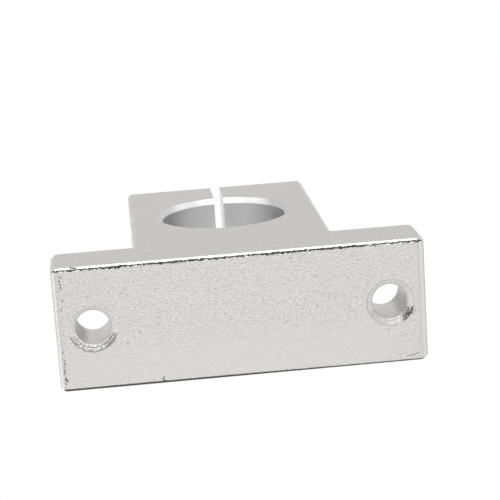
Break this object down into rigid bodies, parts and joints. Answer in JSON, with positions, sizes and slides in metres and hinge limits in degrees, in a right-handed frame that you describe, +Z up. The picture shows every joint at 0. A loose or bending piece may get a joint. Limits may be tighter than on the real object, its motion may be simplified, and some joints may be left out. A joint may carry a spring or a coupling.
{
  "type": "shaft support block",
  "caption": "T-shaped aluminium block that holds the end of a round shaft: a slit bore closed by a cross screw sunk in its side, above a wide drilled foot.",
  "frame": {"origin": "centre of the mounting face under the foot", "axes": "+Z up from the mounting face through the shaft's axis, +Y along the shaft, +X across the foot towards the side that the clamp screw goes in from"},
  "size_m": [0.07, 0.024, 0.06],
  "materials": {
    "blasted_aluminium": "sand-blasted and clear anodised, satin",
    "blackened_steel": "black oxide, lightly oiled"
  },
  "bodies": {
    "root": {"support_block": "blasted_aluminium", "clamp_screw": "blackened_steel"}
  },
  "joints": []
}
